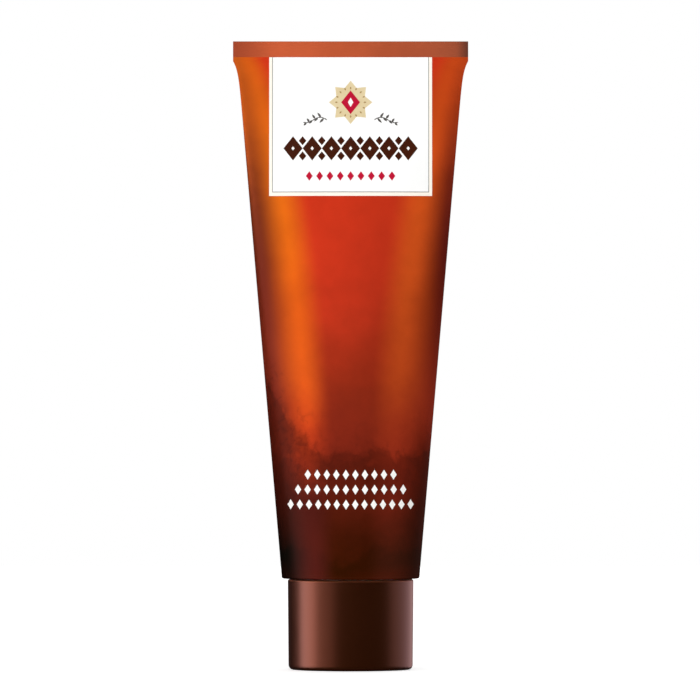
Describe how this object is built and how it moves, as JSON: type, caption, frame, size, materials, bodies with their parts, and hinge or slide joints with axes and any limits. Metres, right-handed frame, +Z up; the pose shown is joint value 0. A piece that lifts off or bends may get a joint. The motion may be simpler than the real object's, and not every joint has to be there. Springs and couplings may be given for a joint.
{
  "type": "shaving cream tube",
  "caption": "Squeezable laminate tube of shaving cream, flat welded tail up, standing on a wide screw cap that unscrews from its threaded neck.",
  "frame": {"origin": "centre of the cap's flat end, on the surface that the tube stands on", "axes": "+Z up, from the cap to the welded tail; +X along the tail's width, to the right seen from the front; -Y is the front, where the label is"},
  "size_m": [0.065, 0.038, 0.1736],
  "materials": {
    "cap_plastic": "satin dark brown moulded polypropylene",
    "disc_foam": "white expanded polyethylene wad",
    "printed_laminate": "glossy lacquer over a translucent amber and brown print on a metallised laminate",
    "label_film": "white film label with a cream border and a gold and crimson ornament",
    "shoulder_plastic": "natural white polyethylene, slightly translucent",
    "insert_plastic": "pale grey barrier insert",
    "seal_foil": "bright peel-off foil",
    "cream": "smooth white cream"
  },
  "bodies": {
    "cap": {"screw_cap": "cap_plastic"},
    "disc": {"sealing_disc": "disc_foam"},
    "tube": {"tube_sleeve": "printed_laminate", "front_label": "label_film", "tube_shoulder": "shoulder_plastic", "barrier_insert": "insert_plastic", "orifice_seal": "seal_foil", "cream_fill": "cream"}
  },
  "joints": [
    {"name": "unscrew_turn", "type": "hinge", "parent": "cap", "child": "disc", "pos_m": [0, 0, 0.0077], "axis": [0, 0, 1], "range_deg": [0, 1080]},
    {"name": "unscrew_rise", "type": "slide", "parent": "disc", "child": "tube", "axis": [0, 0, 1], "range_m": [0, 0.009]}
  ],
  "couplings": [
    {"joint": "unscrew_rise", "follows": "unscrew_turn", "m_per_rad": 0.00047746}
  ]
}
